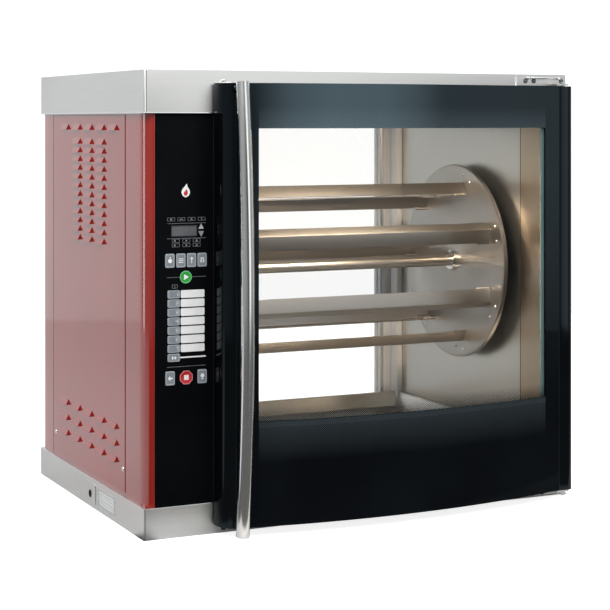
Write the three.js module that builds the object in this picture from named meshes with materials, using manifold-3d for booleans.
// Countertop rotisserie oven with a curved glass front door, a flat glass rear door,
// a seven-spit rotor between two discs, and a keypad beside the door.
// Units are millimetres, +Z is up, the front faces -Y and the control side is at low X.
// The pieces are laid out from the front left corner of the casing, and the whole group
// is then moved so that its origin is at the middle of the footprint.

import * as THREE from 'three';
import { mergeVertices } from 'three/addons/utils/BufferGeometryUtils.js';
import Module from 'manifold-3d';

const wasm = await Module();
wasm.setup();

// ---------------------------------------------------------------- driving dimensions

const GAP = 0.3;                // between pieces that touch
const THROUGH = 5;              // how far a cutting tool runs past the piece it cuts

const WIDTH = 1000;             // casing, over the lid
const DEPTH = 712;              // casing, over the lid
const HEIGHT = 938;             // floor to the top of the lid
const SHEET = 2;                // sheet metal
const BASE_HEIGHT = 63;
const LID_HEIGHT = 88;
const INSET = 7;                // red casing stands back this far from base and lid
const CORNER_RADIUS = 17;       // front corners of the red casing

const BODY_Z0 = BASE_HEIGHT + GAP;
const BODY_Z1 = HEIGHT - 20;    // casing runs up inside the lid
const VISIBLE_Z1 = HEIGHT - LID_HEIGHT;

const FASCIA_X0 = 25;
const FASCIA_X1 = 150;
const FASCIA_Y = 5;             // front face of the control fascia
const FASCIA_THICKNESS = 3;

const CAVITY = { x0: 190, x1: 950, z0: 100, z1: 834, wall: 2 };

const DOOR = { z0: 19, z1: 911.5, back: -6, leftX: 148, glassThickness: 5 };
const DOOR_ARC = { x0: 200, y0: -60, x1: 958, y1: -38, sagitta: 42 };
const HINGE = { x: 977, y: -24.5, radius: 18.5, pinRadius: 4 };
const HANDLE = { x: 175, radius: 13.5, endY: -90, middleY: -115.5, z0: 12, z1: 915 };
const HANDLE_POST = { inset: 17, radius: 6 };

const REAR_DOOR = { x0: 156, x1: 974, z0: 40, z1: 900, thickness: 34, border: 62 };

const ROTOR = { y: 345, z: 500, leftX: 228, rightX: 912, radius: 230, spitRadius: 188, spits: 7 };
const SHAFT_RADIUS = 12.5;
const RUNNING_RADIUS = SHAFT_RADIUS + 0.15;

const KEY_PROUD = 1.2;
const KEY_THICKNESS = 4;
const KEY_CLEARANCE = 0.5;

// ---------------------------------------------------------------- materials

function material(color, roughness, metalness, opacity = 1) {
  return new THREE.MeshStandardMaterial({
    color, roughness, metalness, opacity, transparent: opacity < 1,
  });
}

const FINISHES = {
  steel: () => material(0xc6c8c6, 0.34, 1.0),
  polished: () => material(0xd8dadb, 0.16, 1.0),
  cavity: () => material(0xb4b6b4, 0.3, 1.0),
  red: () => material(0x9a2216, 0.3, 0.1),
  black: () => material(0x0c0d0f, 0.14, 0.0),
  glass: () => material(0xdfe9e6, 0.03, 0.0, 0.3),
  frame: () => material(0x17191b, 0.4, 0.3),
  rubber: () => material(0x1b1b1c, 0.8, 0.0),
  circuit: () => material(0x1d5a34, 0.5, 0.0),
  cast: () => material(0x565a5e, 0.55, 0.6),
  brass: () => material(0xb08d4a, 0.35, 1.0),
  element: () => material(0x4d4744, 0.5, 0.7),
  lens: () => material(0xf3efe0, 0.1, 0.0, 0.6),
  greyKey: () => material(0xb9bdc0, 0.45, 0.0),
  greenKey: () => material(0x2fae3c, 0.4, 0.0),
  redKey: () => material(0xc21f23, 0.4, 0.0),
  display: () => material(0x50565a, 0.12, 0.0),
};

// ---------------------------------------------------------------- solids

function toSolid(geometry) {
  const bare = geometry.index ? geometry.toNonIndexed() : geometry.clone();
  for (const name of Object.keys(bare.attributes)) {
    if (name !== 'position') bare.deleteAttribute(name);
  }
  const merged = mergeVertices(bare, 1e-3);
  const mesh = new wasm.Mesh({
    numProp: 3,
    vertProperties: new Float32Array(merged.attributes.position.array),
    triVerts: new Uint32Array(withoutSlivers(merged.index.array)),
  });
  return new wasm.Manifold(mesh);
}

// Triangles whose corners merged into one another are left out.
function withoutSlivers(index) {
  const kept = [];
  for (let i = 0; i < index.length; i += 3) {
    const [a, b, c] = [index[i], index[i + 1], index[i + 2]];
    if (a !== b && b !== c && c !== a) kept.push(a, b, c);
  }
  return kept;
}

function toGeometry(solid) {
  const mesh = solid.getMesh();
  const geometry = new THREE.BufferGeometry();
  geometry.setAttribute('position', new THREE.BufferAttribute(new Float32Array(mesh.vertProperties), 3));
  geometry.setIndex(new THREE.BufferAttribute(new Uint32Array(mesh.triVerts), 1));
  geometry.computeVertexNormals();
  return geometry;
}

function join(...solids) {
  return solids.reduce((whole, piece) => whole.add(piece));
}

function cut(solid, ...tools) {
  return tools.reduce((whole, tool) => whole.subtract(tool), solid);
}

function block(x0, x1, y0, y1, z0, z1) {
  const geometry = new THREE.BoxGeometry(x1 - x0, y1 - y0, z1 - z0);
  geometry.translate((x0 + x1) / 2, (y0 + y1) / 2, (z0 + z1) / 2);
  return toSolid(geometry);
}

// A rod from one end to the other along an axis, 'x', 'y' or 'z', about a centre line.
function rod(axis, from, to, centre, radius, segments = 32) {
  const geometry = new THREE.CylinderGeometry(radius, radius, to - from, segments);
  const middle = (from + to) / 2;
  if (axis === 'x') {
    geometry.rotateZ(Math.PI / 2);
    geometry.translate(middle, centre[0], centre[1]);
  } else if (axis === 'y') {
    geometry.translate(centre[0], middle, centre[1]);
  } else {
    geometry.rotateX(Math.PI / 2);
    geometry.translate(centre[0], centre[1], middle);
  }
  return toSolid(geometry);
}

// An outline in plan (X, Y), raised from z0 to z1.
function raise(shape, z0, z1, curveSegments = 12) {
  const geometry = new THREE.ExtrudeGeometry(shape, { depth: z1 - z0, bevelEnabled: false, curveSegments });
  geometry.translate(0, 0, z0);
  return toSolid(geometry);
}

// An outline seen from the front (X, Z), carried back from y0 to y1.
function carryBack(shape, y0, y1, curveSegments = 12) {
  const geometry = new THREE.ExtrudeGeometry(shape, { depth: y1 - y0, bevelEnabled: false, curveSegments });
  geometry.rotateX(Math.PI / 2);
  geometry.translate(0, y1, 0);
  return toSolid(geometry);
}

// An outline seen from the right (Y, Z), carried across from x0 to x1.
function carryAcross(shape, x0, x1, curveSegments = 12) {
  const geometry = new THREE.ExtrudeGeometry(shape, { depth: x1 - x0, bevelEnabled: false, curveSegments });
  geometry.rotateZ(Math.PI / 2);
  geometry.rotateY(Math.PI / 2);
  geometry.translate(x0, 0, 0);
  return toSolid(geometry);
}

// A round bar of the given radius along a curve.
function bar(curve, radius, steps, sides = 20) {
  const section = new THREE.Shape();
  section.absarc(0, 0, radius, 0, 2 * Math.PI, false);
  const geometry = new THREE.ExtrudeGeometry(section, {
    steps, extrudePath: curve, bevelEnabled: false, curveSegments: sides / 2,
  });
  return toSolid(geometry);
}

function polygon(points) {
  const shape = new THREE.Shape();
  points.forEach(([u, v], i) => (i ? shape.lineTo(u, v) : shape.moveTo(u, v)));
  shape.closePath();
  return shape;
}

function rectangle(u0, u1, v0, v1) {
  return polygon([[u0, v0], [u1, v0], [u1, v1], [u0, v1]]);
}

function roundedRectangle(u0, u1, v0, v1, r) {
  const shape = new THREE.Shape();
  shape.moveTo(u0 + r, v0);
  shape.lineTo(u1 - r, v0);
  shape.absarc(u1 - r, v0 + r, r, -Math.PI / 2, 0, false);
  shape.lineTo(u1, v1 - r);
  shape.absarc(u1 - r, v1 - r, r, 0, Math.PI / 2, false);
  shape.lineTo(u0 + r, v1);
  shape.absarc(u0 + r, v1 - r, r, Math.PI / 2, Math.PI, false);
  shape.lineTo(u0, v0 + r);
  shape.absarc(u0 + r, v0 + r, r, Math.PI, 1.5 * Math.PI, false);
  return shape;
}

// ---------------------------------------------------------------- scene graph

const oven = new THREE.Group();

function add(parent, name, solid, finish) {
  const mesh = new THREE.Mesh(toGeometry(solid), FINISHES[finish]());
  mesh.name = name;
  parent.add(mesh);
  return mesh;
}

// ---------------------------------------------------------------- casing

// The conduit hole near the bottom of the left side, through the cover plate and the skirt.
const CONDUIT = { y: 334, z: 28.8, radius: 7, skirtRadius: 12 };

function baseFrame() {
  const lip = 14;
  return cut(
    block(0, WIDTH, 0, DEPTH, 0, BASE_HEIGHT),
    block(SHEET, WIDTH - SHEET, SHEET, DEPTH - SHEET, SHEET, BASE_HEIGHT - SHEET),
    block(lip, WIDTH - lip, lip, DEPTH - lip, SHEET * 2, BASE_HEIGHT + THROUGH),
    rod('x', -THROUGH, SHEET + THROUGH, [CONDUIT.y, CONDUIT.z], CONDUIT.skirtRadius, 24),
  );
}

function topCover() {
  return cut(
    block(0, WIDTH, 0, DEPTH, HEIGHT - LID_HEIGHT, HEIGHT),
    block(SHEET, WIDTH - SHEET, SHEET, DEPTH - SHEET, HEIGHT - LID_HEIGHT - THROUGH, HEIGHT - SHEET),
  );
}

// The red side: a rounded front corner, a flat side and a return at the back, in plan.
function sideOutline(frontReturnX, backReturnX) {
  const outer = INSET;
  const r = CORNER_RADIUS;
  const inner = outer + SHEET;
  const shape = new THREE.Shape();
  shape.moveTo(frontReturnX, FASCIA_Y);
  shape.lineTo(frontReturnX, FASCIA_Y + SHEET);
  shape.lineTo(outer + r, FASCIA_Y + SHEET);
  shape.absarc(outer + r, FASCIA_Y + r, r - SHEET, -Math.PI / 2, Math.PI, true);
  shape.lineTo(inner, DEPTH - INSET - SHEET);
  shape.lineTo(backReturnX, DEPTH - INSET - SHEET);
  shape.lineTo(backReturnX, DEPTH - INSET);
  shape.lineTo(outer, DEPTH - INSET);
  shape.lineTo(outer, FASCIA_Y + r);
  shape.absarc(outer + r, FASCIA_Y + r, r, Math.PI, 1.5 * Math.PI, false);
  shape.closePath();
  return shape;
}

const SERVICE_PANEL = { y0: 131, y1: 627, z0: 70, z1: VISIBLE_Z1 - 3, lap: 12 };

function leftSidePanel() {
  const { y0, y1, z0, z1, lap } = SERVICE_PANEL;
  const side = raise(sideOutline(FASCIA_X0 - GAP, 24), BODY_Z0, BODY_Z1);
  return cut(side, block(0, INSET + SHEET + THROUGH, y0 + lap, y1 - lap, z0 + lap, z1 - lap));
}

function rightSidePanel() {
  const geometry = toGeometry(raise(sideOutline(36, 24), BODY_Z0, BODY_Z1));
  geometry.scale(-1, 1, 1);
  geometry.translate(WIDTH, 0, 0);
  const flipped = geometry.index.array;
  for (let i = 0; i < flipped.length; i += 3) {
    [flipped[i], flipped[i + 1]] = [flipped[i + 1], flipped[i]];
  }
  return toSolid(geometry);
}

// Louvre slots: a row of five at the top, a block of twelve by three, and three rows of five.
function louvrePlaces() {
  const columns = [204.3, 285.9, 368.4, 451, 536.6];
  const places = columns.map((y) => [y, 821]);
  const blockTop = 790;
  const blockPitch = 19.3;
  for (let row = 0; row < 12; row += 1) {
    for (const y of columns.slice(1, 4)) places.push([y, blockTop - row * blockPitch]);
  }
  for (const z of [198, 163.5, 129]) {
    for (const y of columns) places.push([y, z]);
  }
  return places;
}

function servicePanel() {
  const { y0, y1, z0, z1 } = SERVICE_PANEL;
  const x1 = INSET - GAP;
  const x0 = x1 - SHEET;
  const slot = { length: 42, height: 5 };
  const slots = louvrePlaces().map(([y, z]) => block(
    x0 - THROUGH, x1 + THROUGH, y - slot.length / 2, y + slot.length / 2, z - slot.height / 2, z + slot.height / 2,
  ));
  return cut(block(x0, x1, y0, y1, z0, z1), ...slots);
}

const ACCESS_PLATE = { y0: 302, y1: 420, z0: 8, z1: 53, corner: 3, thickness: 1.5 };

function accessPlate() {
  const { y0, y1, z0, z1, corner, thickness } = ACCESS_PLATE;
  const plate = carryAcross(roundedRectangle(y0, y1, z0, z1, corner), -thickness - GAP, -GAP, 4);
  return cut(plate, rod('x', -THROUGH, THROUGH, [CONDUIT.y, CONDUIT.z], CONDUIT.radius, 24));
}

// A sheet across the front or back with the cavity mouth cut out of it.
function cavitySurround(x0, x1, y0) {
  const mouth = CAVITY;
  return cut(
    block(x0, x1, y0, y0 + SHEET, BODY_Z0, BODY_Z1),
    block(mouth.x0, mouth.x1, y0 - THROUGH, y0 + SHEET + THROUGH, mouth.z0, mouth.z1),
  );
}

function rearPanel() {
  const y = DEPTH - INSET - SHEET;
  const vents = [];
  for (let row = 0; row < 9; row += 1) {
    const z = 180 + row * 26;
    vents.push(block(50, 130, y - THROUGH, y + SHEET + THROUGH, z, z + 6));
  }
  return cut(cavitySurround(24 + GAP, WIDTH - 24 - GAP, y), ...vents);
}

function frontFrame() {
  return cavitySurround(FASCIA_X1 + GAP, WIDTH - 36 - GAP, FASCIA_Y);
}

// A ring of soft seal around the cavity mouth, seen from the front.
function sealRing(y0, y1) {
  const { x0, x1, z0, z1 } = CAVITY;
  const width = 12;
  const stand = 3;
  const ring = roundedRectangle(x0 - stand - width, x1 + 8, z0 - stand - width, z1 + 8, 8);
  ring.holes.push(roundedRectangle(x0 - stand, x1 - 4, z0 - stand, z1 - 4, 4));
  return carryBack(ring, y0, y1, 4);
}

function cavityLiner() {
  const { x0, x1, z0, z1, wall } = CAVITY;
  const outline = rectangle(x0 - wall, x1 + wall, z0 - wall, z1 + wall);
  outline.holes.push(rectangle(x0, x1, z0, z1));
  const shaftHole = rod('x', x0 - THROUGH * 2, x1 + THROUGH * 2, [ROTOR.y, ROTOR.z], SHAFT_RADIUS + 4, 32);
  const tailHoles = ELEMENT.rows.map((y) => (
    rod('x', x0 - THROUGH * 2, x0 + THROUGH, [y, ELEMENT.z], ELEMENT.radius + 1.5, 16)
  ));
  return cut(
    carryBack(outline, FASCIA_Y + SHEET + GAP, DEPTH - INSET - SHEET - GAP),
    shaftHole,
    ...tailHoles,
  );
}

// ---------------------------------------------------------------- controls

const KEY_ROUND = 3;

// Every key: its name, its middle in X and Z, its width and height, and its finish.
function keyLayout() {
  const keys = [];
  [57, 80.5, 103.5, 126.5].forEach((x, i) => {
    keys.push({ name: `key_mode_${i + 1}`, x, z: 554.5, w: 20, h: 28, finish: 'greyKey' });
  });
  keys.push({ name: 'key_up', x: 124, z: 622.7, w: 12, h: 11, finish: 'greyKey' });
  keys.push({ name: 'key_down', x: 124, z: 607, w: 12, h: 11, finish: 'greyKey' });
  keys.push({ name: 'key_start', x: 91, z: 521, w: 25, h: 25, finish: 'greenKey', sides: 32 });
  for (let i = 0; i < 7; i += 1) {
    keys.push({ name: `key_preset_${i + 1}`, x: 65.2, z: 487 - 18.15 * i, w: 26.5, h: 16, finish: 'greyKey' });
  }
  keys.push({ name: 'key_next', x: 65.2, z: 359.8, w: 26.5, h: 16, finish: 'greyKey' });
  keys.push({ name: 'key_back', x: 57.5, z: 319, w: 20, h: 28, finish: 'greyKey' });
  keys.push({ name: 'key_stop', x: 92, z: 319, w: 27, h: 27, finish: 'redKey', sides: 8 });
  keys.push({ name: 'key_light', x: 126.6, z: 319, w: 20, h: 28, finish: 'greyKey' });
  return keys;
}

// A key's outline about its own middle: a rounded rectangle, a round or an octagon.
function keyOutline(key, grow) {
  const halfWidth = key.w / 2 + grow;
  const halfHeight = key.h / 2 + grow;
  if (!key.sides) {
    return roundedRectangle(-halfWidth, halfWidth, -halfHeight, halfHeight, KEY_ROUND);
  }
  const reach = halfWidth / Math.cos(Math.PI / key.sides);
  const points = [];
  for (let i = 0; i < key.sides; i += 1) {
    const angle = (i + 0.5) * 2 * Math.PI / key.sides;
    points.push([reach * Math.cos(angle), reach * Math.sin(angle)]);
  }
  return polygon(points);
}

function keySolid(key, grow, y0, y1) {
  return carryBack(keyOutline(key, grow), y0, y1, 2);
}

const DISPLAY = { x0: 60.5, x1: 115, z0: 603.5, z1: 624.5 };

function controlFascia() {
  const plate = block(
    FASCIA_X0, FASCIA_X1, FASCIA_Y, FASCIA_Y + FASCIA_THICKNESS, BODY_Z0, BODY_Z1,
  );
  const windows = keyLayout().map((key) => (
    keySolid(key, KEY_CLEARANCE, -THROUGH, FASCIA_THICKNESS + THROUGH).translate([key.x, FASCIA_Y, key.z])
  ));
  const display = block(
    DISPLAY.x0, DISPLAY.x1, FASCIA_Y - THROUGH, FASCIA_Y + FASCIA_THICKNESS + THROUGH, DISPLAY.z0, DISPLAY.z1,
  );
  return cut(plate, display, ...windows);
}

function addControls() {
  add(oven, 'control_fascia', controlFascia(), 'black');
  const lens = block(
    DISPLAY.x0 + GAP, DISPLAY.x1 - GAP, FASCIA_Y + 0.4, FASCIA_Y + FASCIA_THICKNESS,
    DISPLAY.z0 + GAP, DISPLAY.z1 - GAP,
  );
  add(oven, 'display_lens', lens, 'display');
  for (const key of keyLayout()) {
    const mesh = add(oven, key.name, keySolid(key, 0, -KEY_PROUD, KEY_THICKNESS - KEY_PROUD), key.finish);
    mesh.position.set(key.x, FASCIA_Y, key.z);
  }
  const board = FASCIA_Y + KEY_THICKNESS + 2;
  add(oven, 'control_board', block(36, 142, board, board + 1.6, 296, 656), 'circuit');
}

// ---------------------------------------------------------------- front door

// The circle that the front of the glass follows, in plan.
function doorCircle() {
  const { x0, y0, x1, y1, sagitta } = DOOR_ARC;
  const chord = Math.hypot(x1 - x0, y1 - y0);
  const radius = (chord * chord / 4 + sagitta * sagitta) / (2 * sagitta);
  const along = [(x1 - x0) / chord, (y1 - y0) / chord];
  const out = [along[1], -along[0]];
  const back = radius - sagitta;
  return {
    x: (x0 + x1) / 2 - out[0] * back,
    y: (y0 + y1) / 2 - out[1] * back,
    radius,
  };
}

const CIRCLE = doorCircle();

// Where the door's front stands at a place along X, at a depth inside the glass face.
function doorFront(x, depth = 0) {
  return CIRCLE.y - Math.sqrt((CIRCLE.radius - depth) ** 2 - (x - CIRCLE.x) ** 2);
}

function doorAngle(x, depth) {
  return Math.atan2(doorFront(x, depth) - CIRCLE.y, x - CIRCLE.x);
}

// A curved band in plan from one X to another, between two depths inside the glass face.
function curvedBand(x0, x1, depth0, depth1) {
  const shape = new THREE.Shape();
  shape.absarc(CIRCLE.x, CIRCLE.y, CIRCLE.radius - depth0, doorAngle(x0, depth0), doorAngle(x1, depth0), false);
  shape.absarc(CIRCLE.x, CIRCLE.y, CIRCLE.radius - depth1, doorAngle(x1, depth1), doorAngle(x0, depth1), true);
  shape.closePath();
  return shape;
}

function leftStile() {
  const { leftX, back } = DOOR;
  const right = DOOR_ARC.x0 - GAP;
  const front = doorFront(DOOR_ARC.x0);
  const shape = new THREE.Shape();
  shape.moveTo(leftX, back);
  shape.lineTo(leftX, back - 16);
  shape.quadraticCurveTo(leftX, front, leftX + 28, front);
  shape.lineTo(right, front);
  shape.lineTo(right, back);
  shape.closePath();
  return raise(shape, DOOR.z0, DOOR.z1, 10);
}

function rightStile() {
  const left = DOOR_ARC.x1 + GAP;
  const { x, y, radius } = HINGE;
  const shape = new THREE.Shape();
  shape.moveTo(left, DOOR.back);
  shape.lineTo(left, doorFront(DOOR_ARC.x1) + 0.5);
  shape.lineTo(x, y - radius);
  shape.absarc(x, y, radius, -Math.PI / 2, Math.PI / 2, false);
  shape.closePath();
  const pinHole = [x, y];
  const depth = 24;
  return cut(
    raise(shape, DOOR.z0, DOOR.z1, 12),
    rod('z', DOOR.z0 - THROUGH, DOOR.z0 + depth, pinHole, HINGE.pinRadius + 0.15, 24),
    rod('z', DOOR.z1 - depth, DOOR.z1 + THROUGH, pinHole, HINGE.pinRadius + 0.15, 24),
  );
}

// A rail behind the glass, between the stiles, flat at the back and curved at the front.
function doorRail(z0, z1) {
  const shape = new THREE.Shape();
  const x0 = DOOR_ARC.x0 + GAP;
  const x1 = DOOR_ARC.x1 - GAP;
  const depth = DOOR.glassThickness + GAP;
  shape.moveTo(x1, DOOR.back);
  shape.lineTo(x0, DOOR.back);
  shape.absarc(CIRCLE.x, CIRCLE.y, CIRCLE.radius - depth, doorAngle(x0, depth), doorAngle(x1, depth), false);
  shape.closePath();
  return raise(shape, z0, z1, 16);
}

// The handle: a bowed bar the height of the door on two posts.
function doorHandle() {
  const { x, radius, endY, middleY, z0, z1 } = HANDLE;
  const middle = (z0 + z1) / 2;
  const curve = new THREE.QuadraticBezierCurve3(
    new THREE.Vector3(x, endY, z0),
    new THREE.Vector3(x, 2 * middleY - endY, middle),
    new THREE.Vector3(x, endY, z1),
  );
  const stileFront = doorFront(DOOR_ARC.x0) - GAP;
  const { inset } = HANDLE_POST;
  const posts = [z0 + inset, z1 - inset].map((z) => (
    rod('y', endY - 4, stileFront, [x, z], HANDLE_POST.radius, 20)
  ));
  return join(bar(curve, radius, 24, 24), ...posts);
}

function addFrontDoor() {
  const door = new THREE.Group();
  oven.add(door);
  const { x0, x1 } = DOOR_ARC;
  const glass = raise(curvedBand(x0, x1, 0, DOOR.glassThickness), DOOR.z0, DOOR.z1, 24);
  add(door, 'door_glass', glass, 'glass');
  add(door, 'door_left_stile', leftStile(), 'black');
  add(door, 'door_right_stile', rightStile(), 'black');
  add(door, 'door_top_rail', doorRail(842, DOOR.z1), 'frame');
  add(door, 'door_bottom_rail', doorRail(DOOR.z0, 88), 'frame');
  add(door, 'door_handle', doorHandle(), 'polished');
}

// A bracket on the front of the casing: a plate, a leaf over the end of the door and a pin.
function hingeBracket(plate, leaf, pin) {
  const face = -GAP;
  const thickness = 3;
  const { x, y } = HINGE;
  const leafReach = { left: 22, right: 8, front: 10 };
  return join(
    block(plate.x0, plate.x1, face - thickness, face, plate.z0, plate.z1),
    block(x - leafReach.left, x + leafReach.right, y - leafReach.front, face, leaf, leaf + thickness),
    rod('z', pin[0], pin[1], [x, y], HINGE.pinRadius, 24),
  );
}

function addHinges() {
  const top = DOOR.z1 + 2;
  const pinReach = 18;
  const topBracket = hingeBracket(
    { x0: 872, x1: WIDTH - 2, z0: top, z1: HEIGHT - 3 }, top, [DOOR.z1 - pinReach, top + 6],
  );
  const low = DOOR.z0 - 5;
  const bottomBracket = hingeBracket(
    { x0: 900, x1: WIDTH - 2, z0: 4, z1: DOOR.z0 - 2 }, low, [low - 3, DOOR.z0 + pinReach],
  );
  add(oven, 'hinge_bracket_top', topBracket, 'steel');
  add(oven, 'hinge_bracket_bottom', bottomBracket, 'steel');
}

// ---------------------------------------------------------------- rear door

const REAR_HINGE = { x: REAR_DOOR.x1 - 12, y: DEPTH + 6 + REAR_DOOR.thickness / 2 };

function rearFrame() {
  const { x0, x1, z0, z1, thickness, border } = REAR_DOOR;
  const near = DEPTH + 6;
  const outline = roundedRectangle(x0, x1, z0, z1, 4);
  outline.holes.push(rectangle(x0 + border, x1 - border, z0 + border, z1 - border));
  const grow = 12;
  const seat = rectangle(x0 + border - grow, x1 - border + grow, z0 + border - grow, z1 - border + grow);
  const glassY = near + thickness / 2;
  return cut(
    carryBack(outline, near, near + thickness, 4),
    carryBack(seat, glassY - 4, glassY + 4),
    rod('z', z0 - THROUGH, z0 + 24, [REAR_HINGE.x, REAR_HINGE.y], 4.15, 24),
    rod('z', z1 - 24, z1 + THROUGH, [REAR_HINGE.x, REAR_HINGE.y], 4.15, 24),
  );
}

function rearGlass() {
  const { x0, x1, z0, z1, thickness, border } = REAR_DOOR;
  const middle = DEPTH + 6 + thickness / 2;
  const grow = 11;
  return block(
    x0 + border - grow, x1 - border + grow, middle - 3, middle + 3, z0 + border - grow, z1 - border + grow,
  );
}

function rearHandle() {
  const { x0, thickness } = REAR_DOOR;
  const face = DEPTH + 6 + thickness + GAP;
  const x = x0 + 30;
  const standoff = 44;
  const [z0, z1] = [300, 640];
  const grip = rod('z', z0, z1, [x, face + standoff], 11, 24);
  const posts = [z0 + 30, z1 - 30].map((z) => rod('y', face, face + standoff, [x, z], 7, 20));
  return join(grip, ...posts);
}

function rearBracket(z, pinFrom, pinTo, plateZ0, plateZ1) {
  const { x, y } = REAR_HINGE;
  const face = DEPTH + GAP;
  return join(
    block(x - 40, x + 16, face, face + 3, plateZ0, plateZ1),
    block(x - 18, x + 12, face, y + 12, z, z + 3),
    rod('z', pinFrom, pinTo, [x, y], 4, 24),
  );
}

function addRearDoor() {
  const { z0, z1 } = REAR_DOOR;
  add(oven, 'rear_door_frame', rearFrame(), 'frame');
  add(oven, 'rear_door_glass', rearGlass(), 'glass');
  add(oven, 'rear_door_handle', rearHandle(), 'polished');
  add(oven, 'rear_hinge_top', rearBracket(z1 + 2, z1 - 18, z1 + 8, z1 + 2, z1 + 26), 'steel');
  add(oven, 'rear_hinge_bottom', rearBracket(z0 - 5, z0 - 8, z0 + 18, z0 - 24, z0 - 2), 'steel');
}

// ---------------------------------------------------------------- rotor and drive

const DISC_SIDES = 64;

// A solid disc with a deep rim, lying across the X axis with its plate at x = 0.
function rotorDisc(rimSide) {
  const { radius, spitRadius } = ROTOR;
  const plateThickness = 3;
  const rimWidth = 20;
  const hubRadius = 40;
  const hubHeight = 16;
  const side = (near, far) => [Math.min(near * rimSide, far * rimSide), Math.max(near * rimSide, far * rimSide)];
  const plate = rod('x', 0, plateThickness, [0, 0], radius, DISC_SIDES);
  const [rimFrom, rimTo] = side(0, rimWidth);
  const rim = cut(
    rod('x', Math.min(0, rimFrom), Math.max(plateThickness, rimTo), [0, 0], radius, DISC_SIDES),
    rod('x', rimFrom - THROUGH, rimTo + THROUGH, [0, 0], radius - plateThickness, DISC_SIDES),
  );
  const [hubFrom, hubTo] = side(0, hubHeight);
  const hub = rod('x', hubFrom, hubTo, [0, 0], hubRadius, 32);
  const pinHoles = spitAngles().map((angle) => (
    rod('x', -THROUGH, plateThickness + THROUGH,
      [spitRadius * Math.cos(angle), spitRadius * Math.sin(angle)], 4.4, 16)
  ));
  const bore = rod('x', hubFrom - THROUGH, hubTo + THROUGH * 2, [0, 0], SHAFT_RADIUS + GAP, 32);
  return cut(join(plate, rim, hub), bore, ...pinHoles);
}

function spitAngles() {
  return Array.from({ length: ROTOR.spits }, (_, i) => 2 * Math.PI * i / ROTOR.spits);
}

// One spit about its own axis: a folded blade with a pin at each end.
function spitSolid(length) {
  const leg = 34;
  const half = Math.PI / 4;
  const t = 2;
  const corner = t / Math.sin(half);
  const dy = leg * Math.sin(half);
  const dz = leg * Math.cos(half);
  const fold = polygon([
    [0, 4], [-dy, 4 - dz], [-dy + t * Math.cos(half), 4 - dz - t * Math.sin(half)],
    [0, 4 - corner], [dy - t * Math.cos(half), 4 - dz - t * Math.sin(half)], [dy, 4 - dz],
  ]);
  const pinLength = 10;
  const pinInside = 16;
  return join(
    carryAcross(fold, 0, length),
    rod('x', -pinLength, pinInside, [0, 0], 4, 16),
    rod('x', length - pinInside, length + pinLength, [0, 0], 4, 16),
  );
}

function addRotor() {
  const { y, z, leftX, rightX, spitRadius } = ROTOR;
  const rotor = new THREE.Group();
  rotor.position.set(0, y, z);
  oven.add(rotor);
  add(rotor, 'rotor_disc_left', rotorDisc(-1), 'polished').position.x = leftX;
  add(rotor, 'rotor_disc_right', rotorDisc(1), 'polished').position.x = rightX;
  add(rotor, 'rotor_shaft', rod('x', 112, 976, [0, 0], SHAFT_RADIUS, 32), 'polished');
  const spitStart = leftX + 3 + GAP;
  const spit = spitSolid(rightX - GAP - spitStart);
  spitAngles().forEach((angle, i) => {
    const mesh = add(rotor, `spit_${i + 1}`, spit, 'polished');
    mesh.position.set(spitStart, spitRadius * Math.cos(angle), spitRadius * Math.sin(angle));
    mesh.rotation.x = angle - Math.PI / 2;
  });
}

function bearing(x0, x1) {
  const centre = [ROTOR.y, ROTOR.z];
  const flange = rod('x', x0, x1, centre, 30, 32);
  return cut(flange, rod('x', x0 - THROUGH, x1 + THROUGH, centre, RUNNING_RADIUS, 48));
}

// A worm gearbox with a hollow output and its motor hanging below.
function gearmotor() {
  const { y, z } = ROTOR;
  const [x0, x1] = [66, 146];
  const box = block(x0, x1, y - 55, y + 55, z - 60, z + 60);
  const motor = rod('z', z - 230, z - 60, [(x0 + x1) / 2, y], 46, 32);
  const output = rod('x', 108, x1 + THROUGH, [y, z], RUNNING_RADIUS, 48);
  return cut(join(box, motor), output);
}

function addDrive() {
  const { x0, x1, wall } = CAVITY;
  add(oven, 'gearmotor', gearmotor(), 'cast');
  add(oven, 'bearing_drive', bearing(x0 - wall - GAP - 14, x0 - wall - GAP), 'brass');
  add(oven, 'bearing_idle', bearing(x1 + wall + GAP, x1 + wall + GAP + 22), 'brass');
}

// ---------------------------------------------------------------- heat, light and drips

const ELEMENT = { z: 826, radius: 4.5, rows: [200, 490] };

// A hairpin heating tube under the cavity roof, its two tails through the left wall.
function heatingElement() {
  const { z, radius, rows } = ELEMENT;
  const tailX = CAVITY.x0 - 40;
  const farX = CAVITY.x1 - 180;
  const [y0, y1] = rows;
  const bend = (y1 - y0) / 2;
  const path = new THREE.CurvePath();
  path.add(new THREE.LineCurve3(new THREE.Vector3(tailX, y0, z), new THREE.Vector3(farX, y0, z)));
  const turns = 16;
  let last = new THREE.Vector3(farX, y0, z);
  for (let i = 1; i <= turns; i += 1) {
    const angle = -Math.PI / 2 + Math.PI * i / turns;
    const next = new THREE.Vector3(farX + bend * Math.cos(angle), y0 + bend + bend * Math.sin(angle), z);
    path.add(new THREE.LineCurve3(last, next));
    last = next;
  }
  path.add(new THREE.LineCurve3(last, new THREE.Vector3(tailX, y1, z)));
  return bar(path, radius, 60, 10);
}

function lampLens() {
  const { x0, x1, z1 } = CAVITY;
  const middle = (x0 + x1) / 2;
  return block(middle - 160, middle + 160, 40, 84, z1 - 10, z1 - GAP);
}

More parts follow.
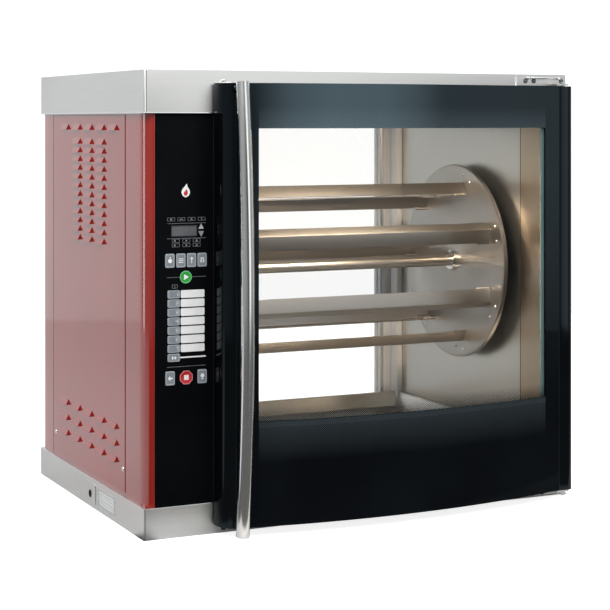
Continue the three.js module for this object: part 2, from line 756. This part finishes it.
function dripPan() {
  const { x0, x1, z0 } = CAVITY;
  const slope = 20;
  const t = 1.5;
  const [y0, y1] = [30, DEPTH - 30];
  const [low, high] = [z0 + GAP, z0 + 34];
  const tray = (inset) => {
    const [a, b, c, d] = [x0 + 6 + inset, x1 - 6 - inset, y0 + inset, y1 - inset];
    return { a, b, c, d };
  };
  const hollow = (o, z, lift) => {
    const rimZ = high + (lift ? THROUGH : 0);
    const scale = lift ? slope * (rimZ - z) / (high - low) : slope;
    const bottom = [[o.a + slope, o.c + slope], [o.b - slope, o.c + slope], [o.b - slope, o.d - slope],
      [o.a + slope, o.d - slope]];
    const grow = scale - slope;
    const top = [[o.a - grow, o.c - grow], [o.b + grow, o.c - grow], [o.b + grow, o.d + grow],
      [o.a - grow, o.d + grow]];
    return frustum(bottom, z, top, rimZ);
  };
  return cut(hollow(tray(0), low, false), hollow(tray(t), low + t, true));
}

// A four-sided solid between a lower and an upper outline.
function frustum(bottom, z0, top, z1) {
  const corners = [...bottom.map(([x, y]) => [x, y, z0]), ...top.map(([x, y]) => [x, y, z1])];
  const faces = [[0, 2, 1], [0, 3, 2], [4, 5, 6], [4, 6, 7]];
  for (let i = 0; i < 4; i += 1) {
    const next = (i + 1) % 4;
    faces.push([i, next, next + 4], [i, next + 4, i + 4]);
  }
  const geometry = new THREE.BufferGeometry();
  geometry.setAttribute('position', new THREE.Float32BufferAttribute(corners.flat(), 3));
  geometry.setIndex(faces.flat());
  return toSolid(geometry);
}

// ---------------------------------------------------------------- assembly

add(oven, 'base_frame', baseFrame(), 'steel');
add(oven, 'top_cover', topCover(), 'steel');
add(oven, 'left_side_panel', leftSidePanel(), 'red');
add(oven, 'service_panel', servicePanel(), 'red');
add(oven, 'right_side_panel', rightSidePanel(), 'red');
add(oven, 'rear_panel', rearPanel(), 'steel');
add(oven, 'access_plate', accessPlate(), 'steel');
add(oven, 'front_frame', frontFrame(), 'frame');
add(oven, 'front_gasket', sealRing(DOOR.back + GAP, FASCIA_Y - GAP), 'rubber');
add(oven, 'cavity_liner', cavityLiner(), 'cavity');
addControls();
addFrontDoor();
addHinges();
addRearDoor();
addRotor();
addDrive();
add(oven, 'heating_element', heatingElement(), 'element');
add(oven, 'lamp_lens', lampLens(), 'lens');
add(oven, 'drip_pan', dripPan(), 'cavity');

// The origin moves to the middle of the footprint, on the floor.
const extent = new THREE.Box3().setFromObject(oven);
const root = new THREE.Group();
oven.position.set(-(extent.min.x + extent.max.x) / 2, -(extent.min.y + extent.max.y) / 2, -extent.min.z);
root.add(oven);

export default root;
